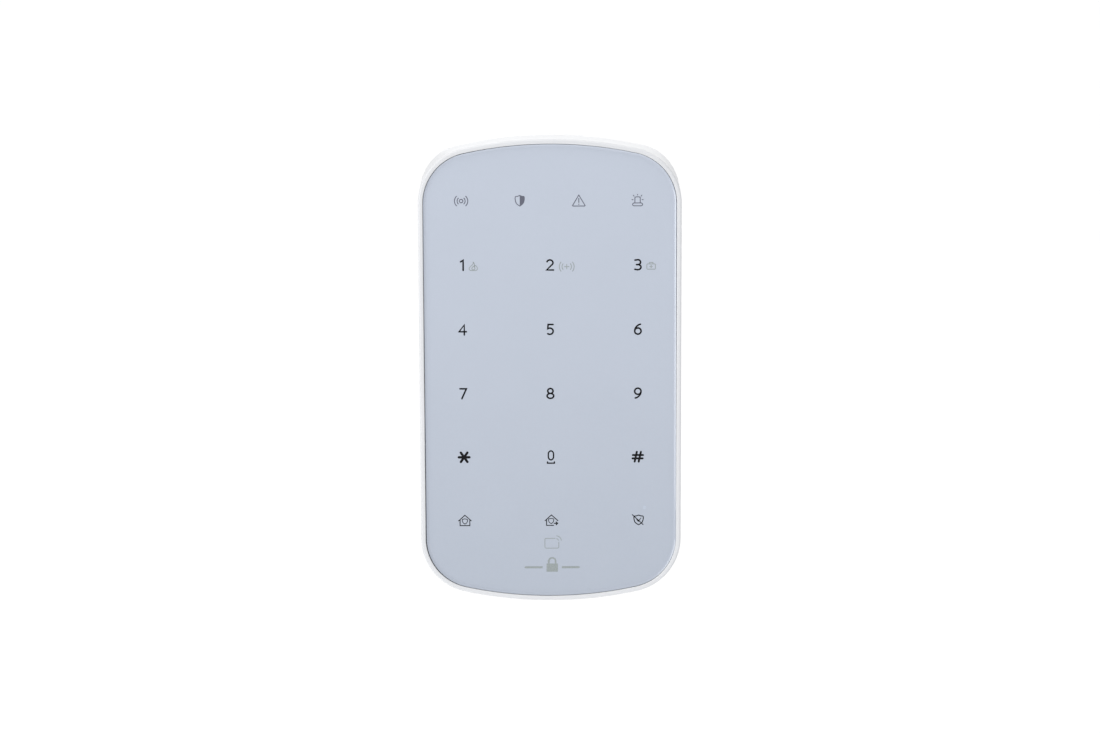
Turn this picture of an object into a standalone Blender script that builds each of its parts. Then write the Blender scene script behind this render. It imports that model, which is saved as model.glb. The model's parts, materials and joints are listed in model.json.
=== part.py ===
"""Wall-mounted wireless touch keypad for an alarm system, as an assembly of separate pieces.

Frame: x to the right, z up, the wall is the plane y = 0 and the keypad stands out from it along -y.
The origin is the middle of the wall bracket's back face.  All numbers are millimetres, and depth
means the distance out from the wall; point() turns them into metres in the frame.
"""
import math

import bmesh
import bpy
from mathutils import Matrix, Vector

MM = 0.001

# ---- driving dimensions --------------------------------------------------------------------------
WIDTH = 84.0
HEIGHT = 150.0
DEPTH = 27.0
CORNER_RADIUS = 18.0        # of the front
BACK_CORNER_RADIUS = 15.0
END_RADIUS = 131.0          # bow of the top and bottom edges
GAP = 0.3                   # air left between neighbouring pieces

# layers, as depths from the wall
CORNER_TURN = (10.0, 26.0)  # the corners open out from the back's radius to the front's
BRACKET_FRONT = 2.4
CASE_BACK = BRACKET_FRONT + GAP
CASE_FLOOR = CASE_BACK + 1.6
PARTING = 10.0
LAP_FRONT = 12.0
LEDGE_BACK = 22.8
LEDGE_FRONT = 24.0
LENS_BACK = 24.9
LENS_FRONT = DEPTH - 0.8     # the glass lies a little below the rim
TOUCH_BOARD = (21.5, 22.5)
MAIN_BOARD = (12.0, 13.6)
TUB_FLOOR = (19.3, 20.3)

# insets from the widest outline
BRACKET_INSET = 1.6
RIM_INSET = 1.52            # inner edge of the white rim
LENS_INSET = 1.80
TAPE_INSET = (2.2, 7.6)
HOUSING_INNER = 2.3
LAP_INSET = (2.6, 3.8)
LEDGE_INSET = 8.0
GUIDE_BACK = 23.3

# hanging: hooks on the bracket, and how far the keypad lifts off them
LIFT = 7.0
HOOK_X = 22.0
HOOK_WIDTH = 8.0
HOOK_TOPS = (56.0, 8.0)     # height of each hook's bearing edge
HOOK_STEM = 2.0
HOOK_HEAD = 6.0
HOOK_DEPTHS = (4.65, 6.1)
HOOK_POCKET_FRONT = 8.0
HOOK_POCKET_WALL = 1.2

# battery bay and cells
CELL_RADIUS = 7.1
CELL_LENGTH = 50.2
CELL_PITCH = 14.8
CELL_DEPTH = 11.8
CELL_COUNT = 3
BAY_X = 29.2
BAY_Z = (-62.0, -17.5)
BAY_MIDDLE = (BAY_Z[0] + BAY_Z[1]) / 2
TUB_WALL = 1.2
CONTACT_X = BAY_X - GAP
CONTACT_THICK = 0.5
TAIL_DEPTHS = (16.4, 17.4)
TAIL_X = 31.0

# battery door and its hinge
DOOR_X = 30.4
DOOR_Z = (-63.6, -16.8)
DOOR_DEPTHS = (CASE_BACK, CASE_BACK + 1.5)
HINGE_DEPTH = 4.3
HINGE_Z = -14.0
HINGE_BARREL = 1.6
HINGE_BORE = 1.0
HINGE_PIN = 0.7
HINGE_ARM_X = (15.0, 27.0)
EAR_X = 13.5
HINGE_BLOCK_FRONT = 7.3
PIN_REACH = 29.5
LATCH_X = (14.0, 22.0)
LATCH_Z = -65.4
LABEL = (18.0, -46.0, -28.0)            # half width, bottom and top of the label's recess

# lock screw in the bracket's foot
FOOT_X = 6.0
FOOT_Z = (-71.4, -69.8)
FOOT_FRONT = 9.5
LOCK_DEPTH = 6.0
LOCK_BLOCK_X = 8.6

# fasteners
CASE_SCREW_AT = ((-34.3, 59.0), (34.3, 59.0), (-34.3, -59.0), (34.3, -59.0))
BOARD_SCREW_AT = ((-28.0, 40.0), (28.0, 40.0), (-28.0, -6.5), (28.0, -6.5))
STAKE_AT = tuple((side * 36.6, z) for side in (-1, 1) for z in (-30.0, 0.0, 30.0))
CASE_SCREW = (2.1, 1.5, 1.1, 9.0)      # head radius and height, shank radius and length
BOARD_SCREW = (2.1, 1.4, 1.0, 6.5)
LOCK_SCREW = (2.4, 1.9, 1.2, 5.9)
CASE_SCREW_SEAT = 4.9                  # depth of the shoulder under a case screw's head
POST_BACK = 6.9                        # back end of the housing's screw posts
LOCK_BORE = 1.5
WALL_SLOT_TOP = ((-11.0, 63.5), (11.0, 63.5))
WALL_SLOT_SIDE = ((-32.2, 3.0), (32.2, 3.0))
SLOT_HALF_WIDTH = 2.2
SLOT_REACH = 2.0            # half the straight run of a slot
COUNTERSINK = 4.0

# back of the main board
TAMPER_AT = (0.0, 30.0)
POWER_AT = (-20.0, 30.0)
POWER_TRAVEL = 2.5
BUZZER_AT = (20.0, 30.0)
PLUNGER_RADIUS = 1.45
PLUNGER_TIP = 0.25
BACK_PARTS = (8.0, 11.7)    # depths of the switches and the buzzer behind the main board

# lamps and the light sensor behind the glass
STATUS_LED_AT = tuple((x, 55.3) for x in (-27.9, -9.3, 9.3, 27.9))
KEY_LED_AT = ((-14.0, 24.3), (14.0, 24.3), (-14.0, -17.3), (14.0, -17.3))
SENSOR_AT = (30.3, -44.4)
WELL = (1.7, 1.3)           # half width and half height of a light well

CORNER_STEPS = 8
END_STEPS = 6
ROUND = 20                  # sides of an ordinary round piece

UP = Matrix.Identity(4)
OUTWARD = Matrix.Rotation(math.radians(90), 4, "X")
SIDEWAYS = Matrix.Rotation(math.radians(90), 4, "Y")

COLOURS = {                 # name: (red, green, blue), roughness, metallic
    "white_shell": ((0.86, 0.87, 0.88), 0.32, 0.0),
    "white_back": ((0.80, 0.81, 0.82), 0.45, 0.0),
    "bracket_plastic": ((0.74, 0.75, 0.76), 0.50, 0.0),
    "panel_glass": ((0.54, 0.60, 0.69), 0.08, 0.0),
    "foam_tape": ((0.03, 0.03, 0.035), 0.75, 0.0),
    "light_guide": ((0.88, 0.90, 0.90), 0.40, 0.0),
    "board_green": ((0.02, 0.16, 0.07), 0.40, 0.0),
    "chip_black": ((0.015, 0.015, 0.017), 0.45, 0.0),
    "socket_cream": ((0.72, 0.68, 0.56), 0.50, 0.0),
    "flex_amber": ((0.62, 0.28, 0.04), 0.35, 0.0),
    "tinned_steel": ((0.62, 0.62, 0.60), 0.30, 1.0),
    "screw_steel": ((0.45, 0.45, 0.46), 0.35, 1.0),
    "copper": ((0.72, 0.33, 0.15), 0.35, 1.0),
    "switch_black": ((0.03, 0.03, 0.03), 0.40, 0.0),
    "lamp_lens": ((0.90, 0.88, 0.70), 0.20, 0.0),
    "cell_wrap": ((0.10, 0.22, 0.42), 0.30, 0.0),
    "lead_red": ((0.55, 0.02, 0.02), 0.45, 0.0),
    "lead_black": ((0.02, 0.02, 0.02), 0.45, 0.0),
    "label_silver": ((0.70, 0.71, 0.72), 0.45, 0.0),
}


# ---- plain geometry ------------------------------------------------------------------------------
def point(x, depth, z):
    return Vector((x, -depth, z)) * MM


def arc(centre_x, centre_z, radius, start, end, steps):
    """Points of a round stretch, both ends included."""
    turns = [start + (end - start) * step / steps for step in range(steps + 1)]
    return [(centre_x + radius * math.cos(a), centre_z + radius * math.sin(a)) for a in turns]


def corner_radius(depth):
    back, front = CORNER_TURN
    share = min(1.0, max(0.0, (depth - back) / (front - back)))
    return BACK_CORNER_RADIUS + share * (CORNER_RADIUS - BACK_CORNER_RADIUS)


def outline(inset, depth):
    """The keypad's outline at a depth, moved inwards: straight sides, round corners, bowed ends."""
    corner = corner_radius(depth)
    corner_x = WIDTH / 2 - corner
    end_z = HEIGHT / 2 - END_RADIUS
    reach = END_RADIUS - corner
    corner_z = end_z + math.sqrt(reach ** 2 - corner_x ** 2)
    join = math.atan2(corner_z - end_z, corner_x)
    radius = corner - inset
    right = arc(corner_x, corner_z, radius, 0, join, CORNER_STEPS)
    end = arc(0, end_z, END_RADIUS - inset, join, math.pi - join, END_STEPS)[1:-1]
    left = arc(-corner_x, corner_z, radius, math.pi - join, math.pi, CORNER_STEPS)
    upper = right + end + left
    return upper + [(-x, -z) for x, z in upper]


def rounded_rect(x0, x1, z0, z1, radius, steps=4):
    points = []
    corners = ((x1, z1, 0), (x0, z1, 1), (x0, z0, 2), (x1, z0, 3))
    for x, z, quarter in corners:
        centre_x = x - math.copysign(radius, x - (x0 + x1) / 2)
        centre_z = z - math.copysign(radius, z - (z0 + z1) / 2)
        start = quarter * math.pi / 2
        points += arc(centre_x, centre_z, radius, start, start + math.pi / 2, steps)
    return points


def slot_outline(x, z, half_width, reach, upright, steps=6):
    """A slot with round ends; reach is how far each end's centre lies from the middle."""
    run = math.pi / 2 if upright else 0
    dx, dz = reach * math.cos(run), reach * math.sin(run)
    first = arc(x + dx, z + dz, half_width, run - math.pi / 2, run + math.pi / 2, steps)
    second = arc(x - dx, z - dz, half_width, run + math.pi / 2, run + 3 * math.pi / 2, steps)
    return first + second


def add_loops(bm, loops, closed=False):
    """Skins a row of loops with equal counts of points, and caps the two ends."""
    rings = [[bm.verts.new(corner) for corner in loop] for loop in loops]
    followers = rings[1:] + rings[:1] if closed else rings[1:]
    for ring, follower in zip(rings, followers):
        count = len(ring)
        for i in range(count):
            j = (i + 1) % count
            bm.faces.new((ring[i], ring[j], follower[j], follower[i]))
    if not closed:
        bm.faces.new(rings[0])
        bm.faces.new(tuple(reversed(rings[-1])))


def add_prism(bm, points, back, front):
    """Extrudes an outline, given as x and z, between two depths."""
    add_loops(bm, [[point(x, depth, z) for x, z in points] for depth in (back, front)])


def add_tapered(bm, back_points, front_points, back, front):
    add_loops(bm, [
        [point(x, back, z) for x, z in back_points],
        [point(x, front, z) for x, z in front_points],
    ])


def add_side_prism(bm, points, x0, x1):
    """Extrudes an outline, given as depth and z, between two x places."""
    add_loops(bm, [[point(x, depth, z) for depth, z in points] for x in (x0, x1)])


def add_block(bm, x0, x1, back, front, z0, z1):
    add_prism(bm, [(x0, z0), (x1, z0), (x1, z1), (x0, z1)], back, front)


def add_turned(bm, profile, place, sides=ROUND):
    """A solid of revolution; profile is radius and distance along place's own z axis."""
    loops = []
    for radius, along in profile:
        ring = arc(0, 0, radius, 0, 2 * math.pi, sides)[:-1]
        loops.append([place @ (Vector((x, y, along)) * MM) for x, y in ring])
    add_loops(bm, loops)


def add_drum(bm, x, z, radius, back, front, sides=ROUND):
    """A round post standing out from the wall."""
    add_turned(bm, [(radius, back), (radius, front)], at(x, 0, z) @ OUTWARD, sides)


def at(x, depth, z):
    return Matrix.Translation(point(x, depth, z))


def add_section(bm, sections, closed=False):
    """Skins the keypad's outline through (inset, depth) sections."""
    loops = [[point(x, depth, z) for x, z in outline(inset, depth)] for inset, depth in sections]
    add_loops(bm, loops, closed)


# ---- objects -------------------------------------------------------------------------------------
def clear_scene():
    for thing in list(bpy.data.objects):
        bpy.data.objects.remove(thing, do_unlink=True)


def material(name):
    found = bpy.data.materials.get(name)
    if found:
        return found
    colour, roughness, metallic = COLOURS[name]
    made = bpy.data.materials.new(name)
    made.use_nodes = True
    shader = made.node_tree.nodes["Principled BSDF"]
    shader.inputs["Base Color"].default_value = (*colour, 1.0)
    shader.inputs["Roughness"].default_value = roughness
    shader.inputs["Metallic"].default_value = metallic
    return made


def pivot(name, x=0.0, depth=0.0, z=0.0, parent=None):
    """An empty on a body's joint axis."""
    empty = bpy.data.objects.new(name, None)
    bpy.context.scene.collection.objects.link(empty)
    empty.parent = parent
    empty.location = point(x, depth, z) - (parent.location if parent else Vector())
    empty.empty_display_size = 5 * MM
    return empty


def mesh_from(name, build, finish=None):
    bm = bmesh.new()
    build(bm)
    bmesh.ops.recalc_face_normals(bm, faces=bm.faces)
    mesh = bpy.data.meshes.new(name)
    bm.to_mesh(mesh)
    bm.free()
    if finish:
        mesh.materials.append(material(finish))
        mesh.shade_smooth()
        mesh.set_sharp_from_angle(angle=math.radians(35))
    return mesh


def world_place(thing):
    """Where an object's origin lies; every parent is an empty that is moved and never turned."""
    place = Vector()
    while thing:
        place += thing.location
        thing = thing.parent
    return place


def put(name, mesh, parent, x=0.0, depth=0.0, z=0.0, turn=(0, 0, 0)):
    """An object for a mesh that is modelled about its own origin."""
    thing = bpy.data.objects.new(name, mesh)
    bpy.context.scene.collection.objects.link(thing)
    thing.parent = parent
    thing.location = point(x, depth, z) - world_place(parent)
    thing.rotation_euler = turn
    return thing


def piece(name, build, finish, parent):
    """An object for a mesh that is modelled where it belongs; its origin is its parent's."""
    mesh = mesh_from(name, build, finish)
    mesh.transform(Matrix.Translation(-world_place(parent)))
    return put_here(name, mesh, parent)


def put_here(name, mesh, parent):
    thing = bpy.data.objects.new(name, mesh)
    bpy.context.scene.collection.objects.link(thing)
    thing.parent = parent
    return thing


def shape_with(thing, operation, label, build):
    """Adds or cuts the bodies of a hidden helper mesh."""
    helper = put_here(f"{thing.name}_{label}", mesh_from(label, build), thing.parent)
    helper.data.transform(Matrix.Translation(-world_place(thing.parent)))
    helper.hide_render = True
    helper.display_type = "WIRE"
    modifier = thing.modifiers.new(label, "BOOLEAN")
    modifier.operation = operation
    modifier.solver = "EXACT"
    modifier.object = helper


def tube(name, points, radius, finish, parent, resolution=1):
    """A round wire along a row of points."""
    curve = bpy.data.curves.new(name, "CURVE")
    curve.dimensions = "3D"
    curve.bevel_depth = radius * MM
    curve.bevel_resolution = resolution
    curve.use_fill_caps = True
    spline = curve.splines.new("POLY")
    spline.points.add(len(points) - 1)
    for target, corner in zip(spline.points, points):
        target.co = (*(point(*corner) - world_place(parent)), 1.0)
    curve.materials.append(material(finish))
    return put_here(name, curve, parent)


def smooth_route(knots, steps):
    """A Catmull-Rom curve through a few knots."""
    padded = [knots[0]] + list(knots) + [knots[-1]]
    route = []
    for i in range(1, len(padded) - 2):
        before, start, end, after = (Vector(padded[i + k]) for k in (-1, 0, 1, 2))
        for step in range(steps):
            t = step / steps
            route.append(tuple(0.5 * (
                2 * start + (end - before) * t
                + (2 * before - 5 * start + 4 * end - after) * t ** 2
                + (3 * start - before - 3 * end + after) * t ** 3)))
    return route + [tuple(knots[-1])]


# ---- wall bracket --------------------------------------------------------------------------------
def bracket_plate(bm):
    chamfer = 0.3
    add_section(bm, [
        (BRACKET_INSET + chamfer, 0), (BRACKET_INSET, chamfer),
        (BRACKET_INSET, BRACKET_FRONT - chamfer), (BRACKET_INSET + chamfer, BRACKET_FRONT),
    ])


def bracket_lugs(bm):
    root = BRACKET_FRONT - 0.5
    back, front = HOOK_DEPTHS
    for side in (-1, 1):
        for top in HOOK_TOPS:
            hook = [(root, top - HOOK_STEM), (front, top - HOOK_STEM), (front, top + HOOK_HEAD - 0.6),
                    (front - 0.4, top + HOOK_HEAD), (back, top + HOOK_HEAD), (back, top), (root, top)]
            middle = side * HOOK_X
            add_side_prism(bm, hook, middle - HOOK_WIDTH / 2, middle + HOOK_WIDTH / 2)
    add_block(bm, -FOOT_X, FOOT_X, root, FOOT_FRONT, *FOOT_Z)


def bracket_gussets(bm):
    """A web under each side of the foot, sunk a little into the plate and the foot."""
    root, reach, foot, bottom = BRACKET_FRONT - 0.5, 3.4, FOOT_Z[0] + 0.2, -73.0
    web = [(root, bottom), (root + reach, foot), (root, foot)]
    for side in (-1, 1):
        add_side_prism(bm, web, *sorted((side * (FOOT_X - 1.2), side * (FOOT_X - 0.2))))


def bracket_openings(bm):
    """The door's window, which it clears at every lift, then the hand holes, slots and lock bore."""
    through = (-1, BRACKET_FRONT + 1.6)
    window = rounded_rect(-32, 32, LATCH_Z - 0.8, HINGE_Z + HINGE_BARREL + LIFT + 0.9, 4)
    add_prism(bm, window, *through)
    for x, z in (POWER_AT, BUZZER_AT):
        add_prism(bm, rounded_rect(x - 7, x + 7, z - 9, z + 15, 3), *through)
    x, z = TAMPER_AT
    add_prism(bm, slot_outline(x, z + LIFT / 2, SLOT_HALF_WIDTH, LIFT / 2, True), *through)
    for upright, places in ((False, WALL_SLOT_TOP), (True, WALL_SLOT_SIDE)):
        for x, z in places:
            add_prism(bm, slot_outline(x, z, SLOT_HALF_WIDTH, SLOT_REACH, upright), *through)
    add_turned(bm, [(LOCK_BORE, FOOT_Z[0] - 8), (LOCK_BORE, FOOT_Z[1] + 4)], at(0, LOCK_DEPTH, 0))


def bracket_countersinks(bm):
    floor, face = BRACKET_FRONT - 1.7, BRACKET_FRONT + 0.05
    for upright, places in ((False, WALL_SLOT_TOP), (True, WALL_SLOT_SIDE)):
        for x, z in places:
            small = slot_outline(x, z, SLOT_HALF_WIDTH, SLOT_REACH, upright)
            large = slot_outline(x, z, COUNTERSINK, SLOT_REACH, upright)
            add_tapered(bm, small, large, floor, face)


def make_bracket(body):
    bracket = piece("wall_bracket", bracket_plate, "bracket_plastic", body)
    shape_with(bracket, "UNION", "lugs", bracket_lugs)
    shape_with(bracket, "UNION", "gussets", bracket_gussets)
    shape_with(bracket, "DIFFERENCE", "openings", bracket_openings)
    shape_with(bracket, "DIFFERENCE", "countersinks", bracket_countersinks)


# ---- screws --------------------------------------------------------------------------------------
def screw_mesh(name, head_radius, head_height, shank_radius, shank_length):
    """A pan-head screw whose head is seated at its own origin and whose shank runs along +z."""
    def build(bm):
        add_turned(bm, [
            (head_radius * 0.62, -head_height), (head_radius, -head_height * 0.55), (head_radius, 0),
            (shank_radius, 0), (shank_radius, shank_length - shank_radius),
            (shank_radius * 0.4, shank_length),
        ], UP, 14)
    return mesh_from(name, build, "screw_steel")


def screw_drive(thing, head_radius, head_height):
    """Cuts a cross recess into a screw's head."""
    arm, half = head_radius * 0.5, head_radius * 0.13

    def build(bm):
        cross = [(arm, -half), (arm, half), (half, half), (half, arm), (-half, arm), (-half, half),
                 (-arm, half), (-arm, -half), (-half, -half), (-half, -arm), (half, -arm), (half, -half)]
        floor, top = -head_height * 0.45, -head_height * 1.5
        add_loops(bm, [[Vector((x, y, z)) * MM for x, y in cross] for z in (top, floor)])

    helper = put_here(f"{thing.name}_drive", mesh_from("drive", build), thing)
    helper.hide_render = True
    helper.display_type = "WIRE"
    modifier = thing.modifiers.new("drive", "BOOLEAN")
    modifier.operation = "DIFFERENCE"
    modifier.solver = "EXACT"
    modifier.object = helper


def make_screws(keypad, lock):
    outward = (math.radians(90), 0, 0)
    inward = (math.radians(-90), 0, 0)
    case_screw = screw_mesh("case_screw", *CASE_SCREW)
    for number, (x, z) in enumerate(CASE_SCREW_AT, 1):
        screw = put(f"case_screw_{number}", case_screw, keypad, x, CASE_SCREW_SEAT - GAP, z, outward)
        screw_drive(screw, *CASE_SCREW[:2])
    board_screw = screw_mesh("board_screw", *BOARD_SCREW)
    for number, (x, z) in enumerate(BOARD_SCREW_AT, 1):
        screw = put(f"board_screw_{number}", board_screw, keypad, x, MAIN_BOARD[1] + GAP, z, inward)
        screw_drive(screw, *BOARD_SCREW[:2])
    lock_screw = screw_mesh("lock_screw", *LOCK_SCREW)
    screw = put("lock_screw", lock_screw, lock, 0, LOCK_DEPTH, FOOT_Z[0] - GAP)
    screw_drive(screw, *LOCK_SCREW[:2])


# ---- rear case -----------------------------------------------------------------------------------
def case_tray(bm):
    outer, inner = LAP_INSET
    add_section(bm, [
        (1.8, CASE_BACK), (0.9, CASE_BACK + 0.35), (0.35, CASE_BACK + 1.2), (0.15, CASE_BACK + 2.6),
        (0.1, PARTING), (outer, PARTING), (outer, LAP_FRONT), (inner, LAP_FRONT), (inner, CASE_FLOOR),
    ])


def case_features(bm):
    """The battery tub, the screw bosses and a covered pocket for each hook."""
    root, tub_x = CASE_FLOOR - 0.8, BAY_X + TUB_WALL
    case_boss, board_boss = 3.3, 2.4
    add_block(bm, -tub_x, tub_x, root, TUB_FLOOR[1], BAY_Z[0] - TUB_WALL, BAY_Z[1] + TUB_WALL)
    for x, z in CASE_SCREW_AT:
        add_drum(bm, x, z, case_boss, root, POST_BACK - GAP)
    for x, z in BOARD_SCREW_AT:
        add_drum(bm, x, z, board_boss, root, MAIN_BOARD[0] - GAP)
    for side in (-1, 1):
        for top in HOOK_TOPS:
            x0, x1, z0, z1 = hook_pocket(side, top, HOOK_POCKET_WALL)
            add_block(bm, x0, x1, root, HOOK_POCKET_FRONT + HOOK_POCKET_WALL, z0, z1)


def hook_pocket(side, top, wall):
    """Room for a hook's head at every lift, grown by a wall."""
    half = HOOK_WIDTH / 2 + 0.5 + wall
    low = top - HOOK_STEM - LIFT - 0.7
    return side * HOOK_X - half, side * HOOK_X + half, low - wall, top + HOOK_HEAD + 0.6 + wall


def case_blocks(bm):
    """Solid blocks for the door hinge, above the tub, and for the lock screw, below it."""
    root, hinge_x, hinge_top, lock_bottom = CASE_FLOOR - 0.8, 31.6, -10.9, -72.0
    add_block(bm, -hinge_x, hinge_x, root, HINGE_BLOCK_FRONT, BAY_Z[1] + 0.6, hinge_top)
    add_block(bm, -LOCK_BLOCK_X, LOCK_BLOCK_X, root, FOOT_FRONT + 1.5, lock_bottom, BAY_Z[0] - 0.6)


def case_hollows(bm):
    behind = 1.0
    head_room, shank_room, board_pilot = 2.45, 1.4, 1.3
    add_block(bm, -BAY_X, BAY_X, behind, TUB_FLOOR[0], *BAY_Z)
    for x, z in CASE_SCREW_AT:
        add_turned(bm, [(head_room, behind), (head_room, CASE_SCREW_SEAT), (shank_room, CASE_SCREW_SEAT),
                        (shank_room, POST_BACK + 1.1)], at(x, 0, z) @ OUTWARD)
    for x, z in BOARD_SCREW_AT:
        add_drum(bm, x, z, board_pilot, 6.5, MAIN_BOARD[1])
    for side in (-1, 1):
        for top in HOOK_TOPS:
            x0, x1, z0, z1 = hook_pocket(side, top, 0)
            add_block(bm, x0, x1, CASE_FLOOR, HOOK_POCKET_FRONT, z0, z1)
    inside = CASE_FLOOR + 1.7
    add_drum(bm, *TAMPER_AT, PLUNGER_RADIUS + 0.35, behind, inside)
    x, z = POWER_AT
    add_prism(bm, rounded_rect(x - 3.3, x + 3.3, z - 2, z + 2, 0.8), behind, inside)
    x, z = BUZZER_AT
    sound_hole, ring = 0.7, 3.0
    add_drum(bm, x, z, sound_hole, behind, inside, 10)
    for turn in range(6):
        angle = turn * math.pi / 3
        add_drum(bm, x + ring * math.cos(angle), z + ring * math.sin(angle), sound_hole,
                 behind, inside, 10)
    add_block(bm, -FOOT_X - 1, FOOT_X + 1, behind, FOOT_FRONT + 0.4, -80, FOOT_Z[1] + GAP)


def case_door_seat(bm):
    """The door's recess, the mouths of the hook pockets, and the lock screw's bore."""
    behind, seat_top = 0.8, -15.9
    add_block(bm, -DOOR_X - GAP, DOOR_X + GAP, behind, DOOR_DEPTHS[1] + GAP, DOOR_Z[0] - GAP, seat_top)
    for side in (-1, 1):
        for top in HOOK_TOPS:
            x0, x1, z0, _ = hook_pocket(side, top, 0)
            add_block(bm, x0, x1, behind, CASE_FLOOR + 0.4, z0, top + GAP)
    bore_end = FOOT_Z[0] + LOCK_SCREW[3] + 0.6
    add_turned(bm, [(LOCK_BORE, FOOT_Z[0] - 4), (LOCK_BORE, bore_end)], at(0, LOCK_DEPTH, 0))


def case_hinge_seat(bm):
    """Room for the hinge barrels, the latch tongues, and a contact's tail through each tub wall."""
    behind = 0.6
    for side in (-1, 1):
        x0, x1 = sorted((side * EAR_X, side * (DOOR_X + GAP)))
        add_block(bm, x0, x1, behind, HINGE_DEPTH + 2.0, HINGE_Z - 2.0, HINGE_Z + 1.9)
        x0, x1 = sorted((side * (LATCH_X[0] - 0.4), side * (LATCH_X[1] + 0.4)))
        add_block(bm, x0, x1, behind, 5.5, LATCH_Z - 0.4, DOOR_Z[0])
        x0, x1 = sorted((side * (BAY_X - 0.5), side * (BAY_X + TUB_WALL + 0.5)))
        z = cell_z(0) if side > 0 else cell_z(CELL_COUNT - 1)
        back, front = TAIL_DEPTHS
        add_block(bm, x0, x1, back - 0.8, front + 1.0, z - 1.6, z + 1.6)


def case_pin_bore(bm):
    reach = EAR_X + 0.7
    add_turned(bm, [(HINGE_BORE, -reach), (HINGE_BORE, reach)],
               at(0, HINGE_DEPTH, HINGE_Z) @ SIDEWAYS, 14)


def make_rear_case(body):
    case = piece("rear_case", case_tray, "white_back", body)
    shape_with(case, "UNION", "features", case_features)
    shape_with(case, "UNION", "blocks", case_blocks)
    shape_with(case, "DIFFERENCE", "hollows", case_hollows)
    shape_with(case, "DIFFERENCE", "door_seat", case_door_seat)
    shape_with(case, "DIFFERENCE", "hinge_seat", case_hinge_seat)
    shape_with(case, "DIFFERENCE", "pin_bore", case_pin_bore)


# ---- battery door --------------------------------------------------------------------------------
def door_plate(bm):
    back, front = DOOR_DEPTHS
    low, high = DOOR_Z
    arm_top = HINGE_Z
    right = [(DOOR_X, low), (DOOR_X, high), (HINGE_ARM_X[1], high), (HINGE_ARM_X[1], arm_top),
             (HINGE_ARM_X[0], arm_top), (HINGE_ARM_X[0], high)]
    left = [(-x, z) for x, z in reversed(right)]
    tongue = [(LATCH_X[0], low), (LATCH_X[0], LATCH_Z), (LATCH_X[1], LATCH_Z), (LATCH_X[1], low)]
    bottom = [(-x, z) for x, z in reversed(tongue)] + tongue
    add_prism(bm, right + left + bottom, back, front)


def door_additions(bm):
    back, front = DOOR_DEPTHS
    for side in (-1, 1):
        x0, x1 = sorted((side * HINGE_ARM_X[0], side * HINGE_ARM_X[1]))
        add_turned(bm, [(HINGE_BARREL, x0), (HINGE_BARREL, x1)],
                   at(0, HINGE_DEPTH, HINGE_Z) @ SIDEWAYS, 18)
        x0, x1 = sorted((side * LATCH_X[0], side * LATCH_X[1]))
        add_block(bm, x0, x1, front - 0.4, front + 2.4, LATCH_Z, LATCH_Z + 0.9)
    grip_half, grip_z, grip_pitch = 9.0, -59.5, 1.8
    for row in range(4):
        z = grip_z + grip_pitch * row
        add_block(bm, -grip_half, grip_half, back - 0.4, back + 0.4, z, z + 0.8)


def door_cuts(bm):
    """The hinge bore, and a shallow recess for the label."""
    add_turned(bm, [(HINGE_BORE, -DOOR_X), (HINGE_BORE, DOOR_X)],
               at(0, HINGE_DEPTH, HINGE_Z) @ SIDEWAYS, 14)
    add_prism(bm, label_outline(0), 1, CASE_BACK + 0.6)


def label_outline(margin):
    half, low, high = LABEL
    return rounded_rect(-half + margin, half - margin, low + margin, high - margin, 1.0 - margin / 2)


def make_battery_door(door):
    cover = piece("battery_door", door_plate, "white_back", door)
    shape_with(cover, "UNION", "additions", door_additions)
    shape_with(cover, "DIFFERENCE", "cuts", door_cuts)
    piece("rating_label", lambda bm: add_prism(
        bm, label_outline(0.4), CASE_BACK + 0.1, CASE_BACK + 0.3), "label_silver", door)


# ---- front: housing, glass, light guide ----------------------------------------------------------
def housing_ring(bm):
    """The rim's outer edge is a quarter round; its inner edge drops to the ledge under the glass."""
    rim_round = 0.65
    edge = [(rim_round - rim_round * math.cos(a), DEPTH - rim_round + rim_round * math.sin(a))
            for a in (math.radians(22.5 * step) for step in range(5))]
    add_section(bm, [
        (0.1, PARTING + GAP), (0.05, 17), *edge, (RIM_INSET - 0.1, DEPTH - 0.03),
        (RIM_INSET, DEPTH - 0.18), (RIM_INSET, LEDGE_FRONT), (LEDGE_INSET, LEDGE_FRONT),
        (LEDGE_INSET, LEDGE_BACK), (HOUSING_INNER, LEDGE_BACK), (HOUSING_INNER, PARTING + GAP),
    ], closed=True)


def housing_posts(bm):
    """Screw posts, and stakes whose melted heads hold the touch board."""
    buried, post_radius, stake_radius, head_radius = LEDGE_BACK + 0.2, 2.6, 0.9, 1.6
    head_back, head_front = TOUCH_BOARD[0] - 1.3, TOUCH_BOARD[0] - GAP
    for x, z in CASE_SCREW_AT:
        add_drum(bm, x, z, post_radius, POST_BACK, buried)
    for x, z in STAKE_AT:
        add_turned(bm, [(1.0, head_back), (head_radius, head_back + 0.4), (head_radius, head_front),
                        (stake_radius, head_front), (stake_radius, buried)], at(x, 0, z) @ OUTWARD, 12)


def housing_bores(bm):
    thread_room, bottom = 1.35, 15.5
    for x, z in CASE_SCREW_AT:
        add_drum(bm, x, z, thread_room, POST_BACK - 1.9, bottom, 14)


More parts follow.
